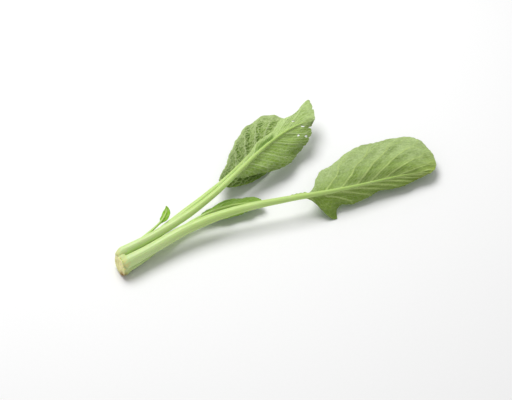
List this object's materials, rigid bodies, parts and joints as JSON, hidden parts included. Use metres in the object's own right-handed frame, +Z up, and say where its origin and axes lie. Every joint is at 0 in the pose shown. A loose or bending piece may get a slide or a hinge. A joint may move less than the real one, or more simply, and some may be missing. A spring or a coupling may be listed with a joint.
{
  "type": "choy sum plant",
  "caption": "Whole cut choy sum plant lying face down: a short stem base fans out into long pale stalks with waved, veined green leaf blades.",
  "frame": {"origin": "middle of the plant's bounding box, on the surface that it lies on", "axes": "+X from the cut end to the leaf tips, +Z up from the surface"},
  "size_m": [0.3024, 0.1554, 0.032],
  "materials": {
    "stem": "fresh cut plant tissue, cream with a drying brown rim",
    "stalk": "smooth juicy pale green stalk with fine lengthwise ribs",
    "blade": "soft veined leaf, paler and matt underneath"
  },
  "bodies": {
    "root": {"stem_base": "stem", "front_leaf_stalk": "stalk", "front_leaf_blade": "blade", "top_leaf_stalk": "stalk", "top_leaf_blade": "blade", "back_leaf_stalk": "stalk", "back_leaf_blade": "blade", "inner_leaf_stalk": "stalk", "inner_leaf_blade": "blade", "heart_leaf_stalk": "stalk", "heart_leaf_blade": "blade"}
  },
  "joints": []
}
